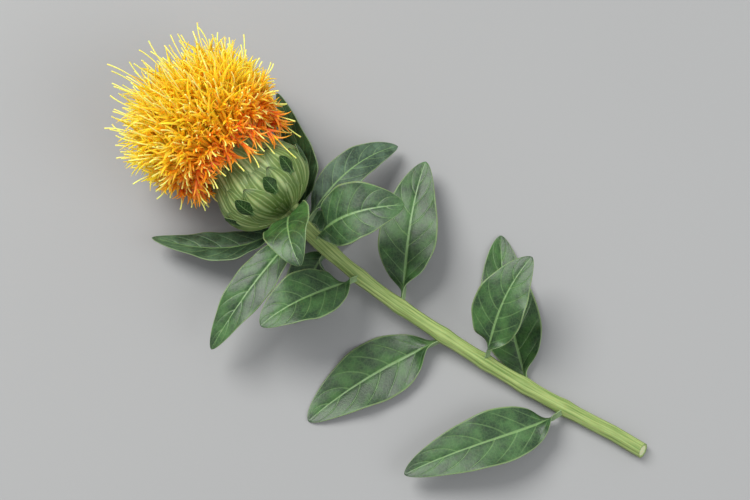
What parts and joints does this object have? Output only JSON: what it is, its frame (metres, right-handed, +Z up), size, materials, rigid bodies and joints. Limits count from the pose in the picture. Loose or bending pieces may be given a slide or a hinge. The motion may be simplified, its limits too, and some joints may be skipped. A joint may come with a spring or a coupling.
{
  "type": "safflower",
  "caption": "A cut safflower lying on its side: an orange and yellow tuft of florets on a green globe of bracts, with a leafy stem",
  "frame": {"origin": "on the surface that the flower lies on, under the middle of its box", "axes": "+Z up, away from the surface; +Y along the stem towards the head; +X to the right when looking down with the head ahead"},
  "size_m": [0.0768, 0.1676, 0.0415],
  "materials": {
    "stem": "satin",
    "involucre": "matte",
    "florets": "matte",
    "leaf": "satin"
  },
  "bodies": {
    "root": {"stem": "stem", "involucre": "involucre", "florets": "florets", "leaf_head_right_front": "leaf", "leaf_head_left_front": "leaf", "leaf_head_top": "leaf", "leaf_head_right": "leaf", "leaf_head_left": "leaf", "leaf_under_right": "leaf", "leaf_under_left": "leaf", "leaf_stem_1": "leaf", "leaf_stem_2": "leaf", "leaf_stem_3": "leaf", "leaf_stem_4": "leaf", "leaf_stem_5": "leaf", "leaf_stem_6": "leaf", "leaf_stem_7": "leaf"}
  },
  "joints": []
}
